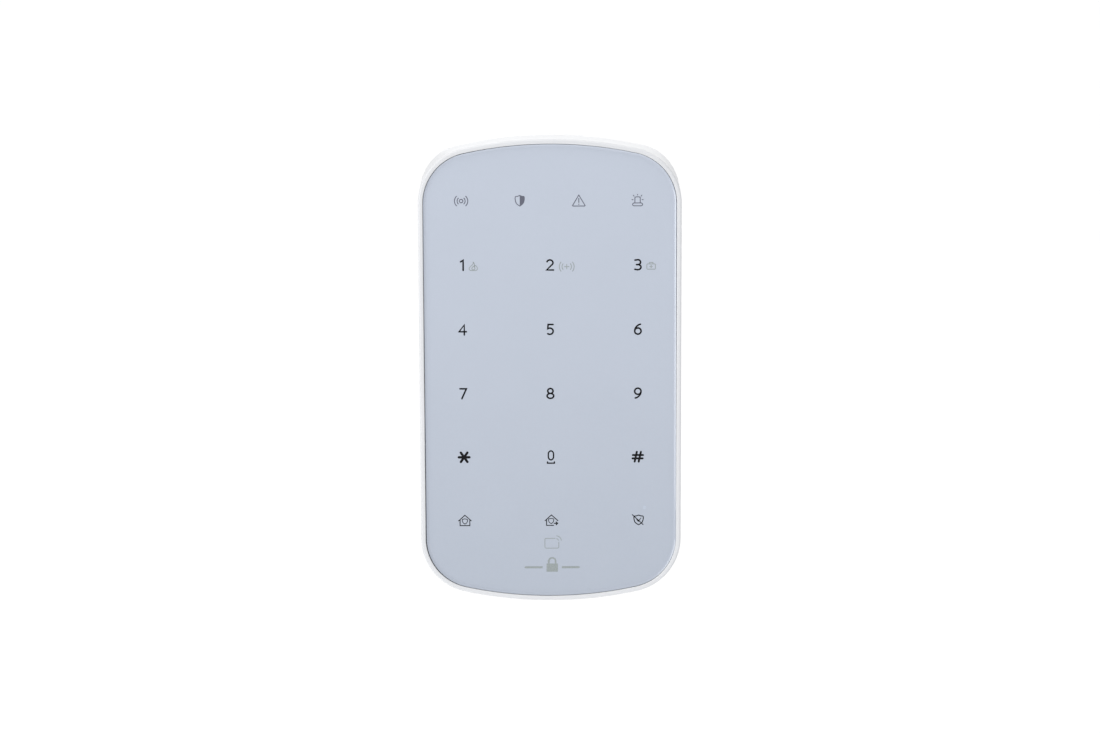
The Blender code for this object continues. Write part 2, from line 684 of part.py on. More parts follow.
def make_front(body):
    housing = piece("front_housing", housing_ring, "white_shell", body)
    shape_with(housing, "UNION", "posts", housing_posts)
    shape_with(housing, "DIFFERENCE", "bores", housing_bores)
    piece("glass_panel", lambda bm: add_section(bm, [
        (LENS_INSET + 0.3, LENS_BACK), (LENS_INSET, LENS_BACK + 0.3), (LENS_INSET, LENS_FRONT - 0.35),
        (LENS_INSET + 0.12, LENS_FRONT - 0.12), (LENS_INSET + 0.4, LENS_FRONT),
    ]), "panel_glass", body)
    outer, inner = TAPE_INSET
    piece("glass_tape", lambda bm: add_section(bm, [
        (outer, LEDGE_FRONT + GAP), (outer, LENS_BACK - GAP),
        (inner, LENS_BACK - GAP), (inner, LEDGE_FRONT + GAP),
    ], closed=True), "foam_tape", body)
    guide = piece("light_guide", lambda bm: add_section(bm, [
        (LEDGE_INSET + 0.4, GUIDE_BACK), (LEDGE_INSET + 0.4, LENS_BACK - GAP),
    ]), "light_guide", body)
    shape_with(guide, "DIFFERENCE", "wells", guide_wells)


def guide_wells(bm):
    half_x, half_z = WELL
    for x, z in STATUS_LED_AT + KEY_LED_AT + (SENSOR_AT,):
        add_block(bm, x - half_x, x + half_x, GUIDE_BACK - 1, LENS_BACK, z - half_z, z + half_z)


# ---- electronics ---------------------------------------------------------------------------------
def box_piece(name, finish, body, x, z, width, height, back, front):
    piece(name, lambda bm: add_block(
        bm, x - width / 2, x + width / 2, back, front, z - height / 2, z + height / 2), finish, body)


def make_touch_board(body):
    back, front = TOUCH_BOARD
    board = piece("touch_board", lambda bm: add_section(bm, [(3.4, back), (3.4, front)]),
                  "board_green", body)

    def holes(bm):
        post_room, stake_room = 3.0, 1.25
        for x, z in CASE_SCREW_AT:
            add_drum(bm, x, z, post_room, back - 1, front + 1, 16)
        for x, z in STAKE_AT:
            add_drum(bm, x, z, stake_room, back - 1, front + 1, 12)

    shape_with(board, "DIFFERENCE", "holes", holes)
    for group, places in (("status_led", STATUS_LED_AT), ("key_led", KEY_LED_AT)):
        for number, (x, z) in enumerate(places, 1):
            box_piece(f"{group}_{number}", "lamp_lens", body, x, z, 2.0, 1.25, front + GAP, front + 1.0)
    box_piece("light_sensor", "chip_black", body, *SENSOR_AT, 2.2, 1.8, front + GAP, front + 1.2)
    box_piece("touch_chip", "chip_black", body, 0, 34, 7, 7, back - GAP - 0.9, back - GAP)
    box_piece("card_reader_chip", "chip_black", body, 16, 4, 5, 5, back - GAP - 0.8, back - GAP)
    box_piece("touch_socket", "socket_cream", body, 0, 9, 14, 4.5, back - GAP - 1.6, back - GAP)

    coil = piece("card_reader_coil", lambda bm: add_prism(
        bm, rounded_rect(-26, 26, -62, -28, 6), TUB_FLOOR[1] + GAP, back - GAP), "copper", body)
    shape_with(coil, "DIFFERENCE", "inside", lambda bm: add_prism(
        bm, rounded_rect(-22.5, 22.5, -58.5, -31.5, 3.5), TUB_FLOOR[1], back))


def make_main_board(body):
    back, front = MAIN_BOARD
    board = piece("main_board", lambda bm: add_prism(
        bm, rounded_rect(-30.8, 30.8, -9.5, 66, 3), back, front), "board_green", body)

    def holes(bm):
        shank_room = 1.4
        for x, z in BOARD_SCREW_AT:
            add_drum(bm, x, z, shank_room, back - 1, front + 1, 14)

    shape_with(board, "DIFFERENCE", "holes", holes)
    top = front + GAP
    box_piece("controller_chip", "chip_black", body, 6, 30, 10, 10, top, top + 1.1)
    box_piece("radio_shield", "tinned_steel", body, -15, 46, 18, 15, top, top + 2.4)
    box_piece("clock_crystal", "tinned_steel", body, 12, 43, 3.2, 8, top, top + 1.5)
    box_piece("main_socket", "socket_cream", body, 0, -1.2, 14, 4.5, top, top + 1.6)
    piece("supply_capacitor", lambda bm: add_turned(
        bm, [(3.15, top), (3.15, top + 5.2), (2.8, top + 5.5)], at(19, 0, 14) @ OUTWARD),
        "tinned_steel", body)
    piece("buzzer", lambda bm: add_turned(
        bm, [(5.6, 6.6), (6.0, 7.0), (6.0, BACK_PARTS[1])], at(BUZZER_AT[0], 0, BUZZER_AT[1]) @ OUTWARD),
        "chip_black", body)
    tube("radio_antenna", antenna_route(top), 0.35, "copper", body)


def antenna_route(top):
    """A sprung helix along the board's top edge, with a straight leg down to the board."""
    turns, steps, radius, start, length = 7, 10, 2.4, -6.0, 19.0
    depth, z = top + 3.2, 61.0
    leg = [(start + 1.5, top, z + radius), (start + 1.5, depth - 1.0, z + radius)]
    coil = []
    for step in range(turns * steps + 1):
        angle = 2 * math.pi * step / steps
        coil.append((start - length * step / (turns * steps),
                     depth + radius * math.sin(angle), z + radius * math.cos(angle)))
    return leg + coil


def make_flex(body):
    """The ribbon between the two boards: straight, round the bend, and up into the other socket."""
    upper, lower, thick, half_width = 20.4, 14.7, 0.3, 5.5
    middle, bend = (upper + lower) / 2, (upper - lower) / 2
    bottom = -4.4

    def side(radius):
        turn = arc(middle, bottom, radius, 0, -math.pi, 10)
        return [(middle + radius, 6.4)] + turn + [(middle - radius, -3.8)]

    ribbon = side(bend + thick / 2) + list(reversed(side(bend - thick / 2)))
    piece("flex_cable", lambda bm: add_side_prism(bm, ribbon, -half_width, half_width), "flex_amber", body)


# ---- switches ------------------------------------------------------------------------------------
def make_tamper(body, plunger):
    x, z = TAMPER_AT
    back, front = BACK_PARTS
    switch = piece("tamper_switch", lambda bm: add_block(
        bm, x - 3.2, x + 3.2, back, front, z - 3.2, z + 3.2), "switch_black", body)
    shape_with(switch, "DIFFERENCE", "socket", lambda bm: add_drum(bm, x, z, PLUNGER_RADIUS + GAP, 6, 10.7))
    piece("tamper_plunger", lambda bm: add_turned(
        bm, [(1.0, PLUNGER_TIP), (PLUNGER_RADIUS, PLUNGER_TIP + 0.45), (PLUNGER_RADIUS, 10.3)],
        at(x, 0, z) @ OUTWARD), "white_shell", plunger)


def make_power_switch(body, knob):
    x, z = POWER_AT
    back, front = BACK_PARTS
    switch = piece("power_switch", lambda bm: add_block(
        bm, x - 4.6, x + 4.6, back, front, z - 2.4, z + 2.4), "tinned_steel", body)
    shape_with(switch, "DIFFERENCE", "track", lambda bm: add_block(
        bm, x - 2.9, x + 2.9, 6, 9.6, z - 1.3, z + 1.3))
    knob_x = x - POWER_TRAVEL / 2
    piece("power_switch_knob", lambda bm: add_block(
        bm, knob_x - 1.1, knob_x + 1.1, 3.2, 9.2, z - 0.9, z + 0.9), "switch_black", knob)


# ---- batteries -----------------------------------------------------------------------------------
def cell_z(number):
    return BAY_MIDDLE + CELL_PITCH * ((CELL_COUNT - 1) / 2 - number)


def cell_mesh():
    """A round cell about its own middle, its positive end at +z."""
    half = CELL_LENGTH / 2

    def build(bm):
        add_turned(bm, [
            (5.6, -half), (CELL_RADIUS - 0.35, -half + 0.1), (CELL_RADIUS, -half + 0.6),
            (CELL_RADIUS, half - 2.0), (CELL_RADIUS - 0.4, half - 1.5), (2.8, half - 1.3),
            (2.7, half - 0.2), (2.4, half),
        ], UP, 24)
    return mesh_from("battery_cell", build, "cell_wrap")


def spring_route(side, z):
    """A conical contact spring from the contact plate to the cell's flat end."""
    turns, steps = 3.5, 10
    wire, inner = 0.4, CONTACT_X - CONTACT_THICK
    start = inner - GAP - wire
    end = CELL_LENGTH - inner + GAP + GAP + wire
    count = int(turns * steps)
    route = []
    for step in range(count + 1):
        share = step / count
        angle = 2 * math.pi * step / steps
        radius = 4.6 - 1.9 * share
        route.append((side * (start + (end - start) * share),
                      CELL_DEPTH + radius * math.cos(angle), z + radius * math.sin(angle)))
    return route


def contact_plate(name, side, first, last, tail, body):
    """A sprung steel strip over one cell end or two; a tail leads out of the bay."""
    outer = CONTACT_X
    inner = outer - CONTACT_THICK
    low, high = cell_z(last) - 5.5, cell_z(first) + 5.5

    def build(bm):
        add_block(bm, *sorted((side * inner, side * outer)), CELL_DEPTH - 5.5, CELL_DEPTH + 6.3, low, high)

    plate = piece(name, build, "tinned_steel", body)
    if tail:
        z = cell_z(first)
        shape_with(plate, "UNION", "tail", lambda bm: add_block(
            bm, *sorted((side * (inner + 0.1), side * TAIL_X)), *TAIL_DEPTHS, z - 1.2, z + 1.2))


def make_batteries(body):
    shared = cell_mesh()
    free = CONTACT_X - CONTACT_THICK - GAP
    for number in range(CELL_COUNT):
        side = 1 if number % 2 == 0 else -1
        turn = (0, side * math.radians(90), 0)
        middle = side * (free - CELL_LENGTH / 2)
        put(f"battery_cell_{number + 1}", shared, body, middle, CELL_DEPTH, cell_z(number), turn)
        tube(f"battery_spring_{number + 1}", spring_route(-side, cell_z(number)), 0.4,
             "tinned_steel", body)
    contact_plate("contact_plate_positive", 1, 0, 0, True, body)
    contact_plate("contact_plate_upper_link", -1, 0, 1, False, body)
    contact_plate("contact_plate_lower_link", 1, 1, 2, False, body)
    contact_plate("contact_plate_negative", -1, 2, 2, True, body)


def make_leads(body):
    """Two wires, each lying in the space beside the bay from its contact's tail to the main board."""
    board = MAIN_BOARD[1] + GAP
    positive = [(32.0, 16.9, cell_z(0)), (32.9, 16.9, -19), (32.4, 16.9, -10), (29.5, 16.9, -1.5),
                (25.5, 16.6, 3.0), (24, 15.6, 5.2), (23.6, board + 0.05, 5.6)]
    negative = [(-32.0, 16.9, cell_z(2)), (-32.9, 16.9, -48), (-33, 16.9, -30), (-32.6, 16.9, -12),
                (-29.5, 16.9, -2), (-25.5, 16.6, 3.0), (-24, 15.6, 5.2), (-23.6, board + 0.05, 5.6)]
    tube("battery_lead_positive", smooth_route(positive, 3), 0.6, "lead_red", body)
    tube("battery_lead_negative", smooth_route(negative, 3), 0.6, "lead_black", body)


# ---- assembly ------------------------------------------------------------------------------------
def build_keypad():
    clear_scene()
    root = pivot("bracket_body")
    lock = pivot("lock_screw_axis", 0, LOCK_DEPTH, FOOT_Z[0] - GAP, root)
    keypad = pivot("keypad_slide", parent=root)
    plunger = pivot("tamper_axis", TAMPER_AT[0], PLUNGER_TIP, TAMPER_AT[1], keypad)
    knob = pivot("power_slide", POWER_AT[0] - POWER_TRAVEL / 2, 6.2, POWER_AT[1], keypad)
    door = pivot("battery_door_hinge", 0, HINGE_DEPTH, HINGE_Z, keypad)

    make_bracket(root)
    make_screws(keypad, lock)
    make_rear_case(keypad)
    make_battery_door(door)
    piece("door_hinge_pin", lambda bm: add_turned(
        bm, [(HINGE_PIN, -PIN_REACH), (HINGE_PIN, PIN_REACH)], at(0, HINGE_DEPTH, HINGE_Z) @ SIDEWAYS, 12),
        "screw_steel", keypad)
    make_front(keypad)
    make_touch_board(keypad)
    make_main_board(keypad)
    make_flex(keypad)
    make_tamper(keypad, plunger)
    make_power_switch(keypad, knob)
    make_batteries(keypad)
    make_leads(keypad)


build_keypad()
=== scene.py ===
import json
import math

import bmesh
import bpy
from mathutils import Matrix, Vector


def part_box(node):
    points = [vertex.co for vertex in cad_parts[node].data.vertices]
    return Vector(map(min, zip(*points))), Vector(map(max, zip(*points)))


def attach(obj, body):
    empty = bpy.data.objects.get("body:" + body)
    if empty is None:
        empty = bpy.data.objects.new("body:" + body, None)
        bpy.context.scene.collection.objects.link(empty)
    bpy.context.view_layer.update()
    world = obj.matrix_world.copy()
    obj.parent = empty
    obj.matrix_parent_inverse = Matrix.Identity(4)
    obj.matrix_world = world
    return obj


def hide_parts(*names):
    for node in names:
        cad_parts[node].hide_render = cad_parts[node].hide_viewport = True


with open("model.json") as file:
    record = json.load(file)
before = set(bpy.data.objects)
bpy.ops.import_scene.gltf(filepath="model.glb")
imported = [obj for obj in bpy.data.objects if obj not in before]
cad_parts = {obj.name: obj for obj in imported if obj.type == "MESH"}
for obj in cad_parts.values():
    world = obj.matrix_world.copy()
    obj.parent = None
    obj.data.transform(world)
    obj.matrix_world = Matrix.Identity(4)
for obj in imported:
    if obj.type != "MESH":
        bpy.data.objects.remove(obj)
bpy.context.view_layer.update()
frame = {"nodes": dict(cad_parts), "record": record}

# Looks of a wall-mounted alarm keypad.  Lengths are millimetres: x to the right, depth out from the
# wall, z up.  point() turns them into the frame's metres.
MM = 0.001


# ---- sizes read from the frame -------------------------------------------------------------------
def span(node):
    """(x0, x1), (back depth, front depth), (z0, z1) of a CAD node, in millimetres."""
    low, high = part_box(node)
    return ((low.x / MM, high.x / MM), (-high.y / MM, -low.y / MM), (low.z / MM, high.z / MM))


HOUSING = span("front_housing")
GLASS = span("glass_panel")
WIDTH = HOUSING[0][1] - HOUSING[0][0]
HEIGHT = HOUSING[2][1] - HOUSING[2][0]
DEPTH = HOUSING[1][1]
GLASS_BACK = GLASS[1][0]
GLASS_INSET = 1.64                      # from the keypad's outline to the glass's edge
GLASS_FRONT = 26.2
CORNER_RADIUS = 18.0                    # of the front
BACK_CORNER_RADIUS = 15.0
TURN_DEPTHS = (10.0, DEPTH - 1)         # the corners open out between these depths
END_RADIUS = 131.0                      # bow of the top and bottom edges
CORNER_STEPS = 28
END_STEPS = 36


# ---- plain geometry ------------------------------------------------------------------------------
def point(x, depth, z):
    return Vector((x, -depth, z)) * MM


def at(x, depth, z):
    return Matrix.Translation(point(x, depth, z))


OUTWARD = Matrix.Rotation(math.radians(90), 4, "X")


def arc(cx, cz, radius, start, end, steps, squash=1.0):
    """Points of a round or oval stretch, angles in degrees, both ends included."""
    points = []
    for step in range(steps + 1):
        a = math.radians(start + (end - start) * step / steps)
        points.append((cx + radius * math.cos(a), cz + radius * squash * math.sin(a)))
    return points


def outline(inset, depth):
    """The keypad's outline at a depth: straight sides, bowed ends, corners rounder to the front."""
    back, front = TURN_DEPTHS
    share = min(1.0, max(0.0, (depth - back) / (front - back)))
    corner = BACK_CORNER_RADIUS + share * (CORNER_RADIUS - BACK_CORNER_RADIUS)
    corner_x = WIDTH / 2 - corner
    end_z = HEIGHT / 2 - END_RADIUS
    corner_z = end_z + math.sqrt((END_RADIUS - corner) ** 2 - corner_x ** 2)
    join = math.degrees(math.atan2(corner_z - end_z, corner_x))
    radius = corner - inset
    right = arc(corner_x, corner_z, radius, 0, join, CORNER_STEPS)
    end = arc(0, end_z, END_RADIUS - inset, join, 180 - join, END_STEPS)[1:-1]
    left = arc(-corner_x, corner_z, radius, 180 - join, 180, CORNER_STEPS)
    upper = right + end + left
    return upper + [(-x, -z) for x, z in upper]


def add_loops(bm, loops, closed=False):
    """Skins a row of loops; its ends are capped, or joined to each other if it is closed."""
    rings = [[bm.verts.new(corner) for corner in loop] for loop in loops]
    followers = rings[1:] + rings[:1] if closed else rings[1:]
    for ring, follower in zip(rings, followers):
        count = len(ring)
        for i in range(count):
            j = (i + 1) % count
            bm.faces.new((ring[i], ring[j], follower[j], follower[i]))
    if not closed:
        bm.faces.new(rings[0])
        bm.faces.new(tuple(reversed(rings[-1])))


def add_prism(bm, points, back, front):
    add_loops(bm, [[point(x, depth, z) for x, z in points] for depth in (back, front)])


def add_turned(bm, profile, place, sides=64, closed=False):
    """Turns a profile of (radius, height) corners about the z axis of a place."""
    ring = [2 * math.pi * step / sides for step in range(sides)]
    loops = [[place @ (Vector((radius * math.cos(a), radius * math.sin(a), painted_shade_height)) * MM) for a in ring]
             for radius, painted_shade_height in profile]
    add_loops(bm, loops, closed)


def add_section(bm, sections, closed=False):
    """Skins the keypad's outline through (inset, depth) sections."""
    loops = [[point(x, depth, z) for x, z in outline(inset, depth)] for inset, depth in sections]
    add_loops(bm, loops, closed)


# ---- pieces --------------------------------------------------------------------------------------
def link(name, data):
    thing = bpy.data.objects.new(name, data)
    bpy.context.scene.collection.objects.link(thing)
    return thing


def mesh_from(name, build, sharp=35):
    bm = bmesh.new()
    build(bm)
    bmesh.ops.recalc_face_normals(bm, faces=bm.faces)
    mesh = bpy.data.meshes.new(name)
    bm.to_mesh(mesh)
    bm.free()
    mesh.shade_smooth()
    mesh.set_sharp_from_angle(angle=math.radians(sharp))
    return mesh


def piece(name, build, material, body, replaced=(), sharp=35):
    """A mesh that is built where it belongs and moves with a body."""
    thing = link(name, mesh_from(name, build, sharp))
    thing.data.materials.append(material)
    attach(thing, body)
    if replaced:
        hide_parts(*replaced)
    return thing


# ---- materials -----------------------------------------------------------------------------------
class Surface:
    """A Principled material with short ways to add nodes to it."""

    def __init__(self, name, **sockets):
        self.material = bpy.data.materials.new(name)
        self.material.use_nodes = True
        self.nodes = self.material.node_tree.nodes
        self.links = self.material.node_tree.links
        self.shader = self.nodes["Principled BSDF"]
        self.coords = self.nodes.new("ShaderNodeTexCoord").outputs["Object"]
        for socket, value in sockets.items():
            self.shader.inputs[socket.replace("_", " ")].default_value = value

    def place(self, scale=(1, 1, 1)):
        mapping = self.nodes.new("ShaderNodeMapping")
        mapping.inputs["Scale"].default_value = scale
        self.links.new(self.coords, mapping.inputs["Vector"])
        return mapping.outputs["Vector"]

    def noise(self, size, detail=3.0, rough=0.5, stretch=(1, 1, 1)):
        """Noise whose blobs are about size millimetres across."""
        node = self.nodes.new("ShaderNodeTexNoise")
        node.inputs["Scale"].default_value = 1.0 / (size * MM)
        node.inputs["Detail"].default_value = detail
        node.inputs["Roughness"].default_value = rough
        self.links.new(self.place(stretch), node.inputs["Vector"])
        return node.outputs["Fac"]

    def remap(self, value, low, high, source=(0.3, 0.7)):
        node = self.nodes.new("ShaderNodeMapRange")
        for socket, number in zip(("From Min", "From Max", "To Min", "To Max"), (*source, low, high)):
            node.inputs[socket].default_value = number
        self.links.new(value, node.inputs["Value"])
        return node.outputs["Result"]

    def math(self, operation, first, second=None):
        node = self.nodes.new("ShaderNodeMath")
        node.operation = operation
        for socket, value in zip(node.inputs, (first, second)):
            if isinstance(value, (int, float)):
                socket.default_value = value
            elif value is not None:
                self.links.new(value, socket)
        return node.outputs["Value"]

    def ramp(self, value, stops):
        node = self.nodes.new("ShaderNodeValToRGB")
        elements = node.color_ramp.elements
        while len(elements) < len(stops):
            elements.new(0.5)
        for element, (place, colour) in zip(elements, stops):
            element.position = place
            element.color = (*colour, 1.0)
        self.links.new(value, node.inputs["Fac"])
        return node.outputs["Color"]

    def bump(self, painted_shade_height, distance, strength=1.0):
        """Adds a height, distance millimetres deep, to the surface's normal."""
        node = self.nodes.new("ShaderNodeBump")
        node.inputs["Distance"].default_value = distance * MM
        node.inputs["Strength"].default_value = strength
        self.links.new(painted_shade_height, node.inputs["Height"])
        target = self.shader.inputs["Normal"]
        if target.is_linked:
            self.links.new(target.links[0].from_socket, node.inputs["Normal"])
        self.links.new(node.outputs["Normal"], target)

    def drive(self, socket, value):
        self.links.new(value, self.shader.inputs[socket])

    def axis(self, name):
        node = self.nodes.new("ShaderNodeSeparateXYZ")
        self.links.new(self.coords, node.inputs["Vector"])
        return node.outputs[name]


def shade(colour, factor):
    return tuple(min(1.0, channel * factor) for channel in colour)


def moulded_plastic(name, colour, roughness, grain, depth, **sockets):
    """Moulded plastic: a fine spark-eroded grain, faint flow mottling and uneven gloss."""
    surface = Surface(name, IOR=1.49, **sockets)
    mottle = surface.noise(14, 2)
    surface.drive("Base Color", surface.ramp(mottle, [
        (0.3, shade(colour, 0.985)), (0.55, colour), (0.75, shade(colour, 1.012))]))
    surface.drive("Roughness", surface.remap(surface.noise(3.5, 4), roughness * 0.94, roughness * 1.06))
    surface.bump(surface.noise(grain, 4, 0.6), depth)
    return surface.material


# The paint's three colours carry painted shade: lighter at the top of the panel and darker at the bottom,
# where less light falls from above.
PAINT_SHADED_LOW = (0.303, 0.337, 0.400)        # the paint at the bottom of the panel, darkened by painted shade
PAINT_MIDDLE = (0.338, 0.373, 0.441)
PAINT_LIT_HIGH = (0.359, 0.396, 0.468)


def painted_glass():
    """Polished glass with pale paint behind it: the paint's colour darkens down the panel, a painted
    shade of the light from above.
    """
    surface = Surface("glass_paint", IOR=1.5, Coat_Weight=1.0, Coat_Roughness=0.03, Coat_IOR=1.5)
    # painted shade: the colour darkens from the top of the panel to the bottom
    painted_shade_height = surface.remap(surface.axis("Z"), 0, 1, (GLASS[2][0] * MM, GLASS[2][1] * MM))
    speckle = surface.remap(surface.noise(0.9, 2), -0.03, 0.03)
    cloud = surface.remap(surface.noise(22, 2), -0.04, 0.04)
    mixed = surface.math("ADD", painted_shade_height, surface.math("ADD", speckle, cloud))
    surface.drive("Base Color", surface.ramp(mixed, [
        (0.0, PAINT_SHADED_LOW), (0.5, PAINT_MIDDLE), (1.0, PAINT_LIT_HIGH)]))
    surface.drive("Roughness", surface.remap(surface.noise(2.5, 3), 0.32, 0.40))
    surface.bump(surface.noise(30, 1), 0.004)
    return surface.material


def printed_ink(name, colour):
    """Screen-printed ink: slightly uneven cover at the scale of the printing mesh."""
    surface = Surface(name, IOR=1.3, Specular_IOR_Level=0.2)
    surface.drive("Base Color", surface.ramp(surface.noise(0.25, 2), [
        (0.35, shade(colour, 0.9)), (0.65, shade(colour, 1.1))]))
    surface.drive("Roughness", surface.remap(surface.noise(0.4, 2), 0.35, 0.45))
    return surface.material


def metal(name, colour, roughness, grain=(1, 1, 1), size=0.4):
    """Plated metal with drawn grain, uneven dullness and fine handling marks."""
    surface = Surface(name, Metallic=1.0)
    streak = surface.noise(size, 5, 0.6, grain)
    surface.drive("Base Color", surface.ramp(surface.noise(4, 3), [
        (0.3, shade(colour, 0.86)), (0.6, colour), (0.8, shade(colour, 1.08))]))
    surface.drive("Roughness", surface.remap(streak, roughness * 0.75, roughness * 1.35))
    surface.bump(streak, 0.006)
    return surface.material


def circuit_board():
    """Green solder mask over copper: tracks stand a little proud and show lighter."""
    surface = Surface("circuit_board", IOR=1.5, Coat_Weight=0.4, Coat_Roughness=0.2)
    tracks = surface.nodes.new("ShaderNodeTexVoronoi")
    tracks.distance = "CHEBYCHEV"
    tracks.inputs["Scale"].default_value = 1 / (2.6 * MM)
    surface.links.new(surface.place(), tracks.inputs["Vector"])
    copper = surface.remap(tracks.outputs["Distance"], 0, 1, (0.36, 0.40))
    surface.drive("Base Color", surface.ramp(copper, [
        (0.0, (0.010, 0.085, 0.035)), (1.0, (0.022, 0.165, 0.070))]))
    surface.drive("Roughness", surface.remap(surface.noise(0.5, 3), 0.36, 0.5))
    surface.bump(copper, 0.03)
    return surface.material


def milky_plastic():
    surface = Surface("milky_plastic", IOR=1.5, Subsurface_Weight=0.5, Subsurface_Scale=0.002)
    surface.drive("Base Color", surface.ramp(surface.noise(6, 2), [
        (0.3, (0.80, 0.82, 0.82)), (0.7, (0.86, 0.87, 0.87))]))
    surface.drive("Roughness", surface.remap(surface.noise(1.0, 3), 0.42, 0.55))
    surface.bump(surface.noise(0.3, 3), 0.006)
    return surface.material


def foam():
    surface = Surface("foam", IOR=1.4)
    pores = surface.nodes.new("ShaderNodeTexVoronoi")
    pores.inputs["Scale"].default_value = 1 / (0.25 * MM)
    surface.links.new(surface.place(), pores.inputs["Vector"])
    surface.drive("Base Color", surface.ramp(pores.outputs["Distance"], [
        (0.1, (0.012, 0.012, 0.014)), (0.6, (0.035, 0.035, 0.038))]))
    surface.drive("Roughness", surface.remap(surface.noise(0.6, 3), 0.85, 0.98))
    surface.bump(pores.outputs["Distance"], 0.05)
    return surface.material


def amber_film():
    """Polyimide ribbon with copper tracks that run along it."""
    surface = Surface("amber_film", IOR=1.6, Coat_Weight=0.5, Coat_Roughness=0.12)
    lines = surface.nodes.new("ShaderNodeTexWave")
    lines.bands_direction = "X"
    lines.inputs["Scale"].default_value = 1 / (6 * MM)
    lines.inputs["Distortion"].default_value = 0.0
    surface.links.new(surface.place(), lines.inputs["Vector"])
    surface.drive("Base Color", surface.ramp(lines.outputs["Fac"], [
        (0.40, (0.42, 0.155, 0.020)), (0.60, (0.62, 0.27, 0.055))]))
    surface.drive("Roughness", surface.remap(surface.noise(1.5, 3), 0.22, 0.36))
    surface.bump(lines.outputs["Fac"], 0.01)
    return surface.material


def lens_resin():
    surface = Surface("lens_resin", IOR=1.53, Transmission_Weight=0.35)
    surface.drive("Base Color", surface.ramp(surface.noise(0.8, 2), [
        (0.3, (0.82, 0.79, 0.58)), (0.7, (0.88, 0.85, 0.66))]))
    surface.drive("Roughness", surface.remap(surface.noise(0.5, 2), 0.15, 0.28))
    return surface.material


def shrink_wrap(name, colour):
    """Printed film shrunk round a cell: glossy, with faint lengthwise draw lines."""
    surface = Surface(name, IOR=1.5, Coat_Weight=0.6, Coat_Roughness=0.08)
    surface.drive("Base Color", surface.ramp(surface.noise(5, 3), [
        (0.3, shade(colour, 0.88)), (0.7, shade(colour, 1.10))]))
    surface.drive("Roughness", surface.remap(surface.noise(2, 3), 0.26, 0.38))
    surface.bump(surface.noise(0.8, 3, 0.5, (0.08, 1, 1)), 0.02)
    return surface.material


# ---- stage, camera and lights --------------------------------------------------------------------
CAMERA_DISTANCE = 978.0
CAMERA_ELEVATION = 9.2   # degrees, as the roll
CAMERA_LENS = 99.8
CAMERA_ROLL = -0.2
AIM = (-0.1, DEPTH, 2.0)
FLOOR_DROP = 900.0       # from the keypad's lower end to the floor
FLOOR_REACH = 40000.0


def make_camera():
    data = bpy.data.cameras.new("camera")
    data.lens = CAMERA_LENS
    data.sensor_width = 36
    data.clip_end = 100
    camera = link("camera", data)
    tilt = math.radians(CAMERA_ELEVATION)
    offset = Vector((0, -math.cos(tilt), math.sin(tilt))) * CAMERA_DISTANCE * MM
    camera.location = point(*AIM) + offset
    level = Matrix.Rotation(math.radians(90) - tilt, 4, "X")
    roll = Matrix.Rotation(math.radians(CAMERA_ROLL), 4, "Z")
    camera.matrix_world = Matrix.Translation(camera.location) @ level @ roll
    bpy.context.scene.camera = camera


def make_floor():
    """A pale studio floor, well below the hanging keypad."""
    surface = Surface("floor_paper", IOR=1.3)
    surface.drive("Base Color", surface.ramp(surface.noise(900, 2), [
        (0.3, (0.93, 0.93, 0.93)), (0.7, (0.95, 0.95, 0.95))]))
    surface.drive("Roughness", surface.remap(surface.noise(60, 3), 0.85, 0.95))
    low = -HEIGHT / 2 - FLOOR_DROP
    corners = [(side * FLOOR_REACH, end * FLOOR_REACH)
               for side, end in ((-1, -1), (1, -1), (1, 1), (-1, 1))]
    floor = link("floor", mesh_from(
        "floor", lambda bm: bm.faces.new([bm.verts.new(point(x, depth, low)) for x, depth in corners])))
    floor.data.materials.append(surface.material)


def area_light(name, place, target, size, power, colour=(1, 1, 1)):
    data = bpy.data.lights.new(name, "AREA")
    data.shape = "RECTANGLE"
    data.size, data.size_y = (edge * MM for edge in size)
    data.energy = power
    data.color = colour
    light = link(name, data)
    light.location = point(*place)
    aim = point(*target) - light.location
    light.rotation_euler = aim.to_track_quat("-Z", "Y").to_euler()


SKY_LEVEL = 0.79         # brightness of the white room at eye height
SKY_RISE = 0.46          # how much brighter it is overhead
SKY_SIDE = 0.15          # how much brighter it is on the left than straight ahead


def make_sky():
    """A white room, brighter overhead and towards the left."""
    world = bpy.data.worlds.new("studio")
    bpy.context.scene.world = world
    world.use_nodes = True
    nodes, links = world.node_tree.nodes, world.node_tree.links
    background = nodes["Background"]
    background.inputs["Color"].default_value = (1.0, 1.0, 1.0, 1.0)
    split = nodes.new("ShaderNodeSeparateXYZ")
    links.new(nodes.new("ShaderNodeTexCoord").outputs["Generated"], split.inputs["Vector"])
    rise = nodes.new("ShaderNodeMapRange")
    rise.inputs["To Min"].default_value = SKY_LEVEL
    rise.inputs["To Max"].default_value = SKY_LEVEL + SKY_RISE
    links.new(split.outputs["Z"], rise.inputs["Value"])
    side = nodes.new("ShaderNodeMath")
    side.operation = "MULTIPLY_ADD"
    side.inputs[1].default_value = -SKY_SIDE
    links.new(split.outputs["X"], side.inputs[0])
    links.new(rise.outputs["Result"], side.inputs[2])
    links.new(side.outputs["Value"], background.inputs["Strength"])


def make_lights():
    """The room, a large soft light from the left, one from above, and weak ones behind and below."""
    make_sky()
    middle = (0, DEPTH, 0)
    area_light("key_softbox", (-850, 850, 100), middle, (800, 800), 6.0)
    area_light("top_softbox", (-20, 330, 1100), middle, (1800, 500), 5.8, (1.0, 0.985, 0.955))
    area_light("back_softbox", (300, -900, 450), middle, (1200, 700), 1.2)
    area_light("low_softbox", (-50, 620, -800), middle, (1400, 500), 1.8)
    scene = bpy.context.scene
    scene.view_settings.view_transform = "Standard"
    scene.view_settings.look = "None"


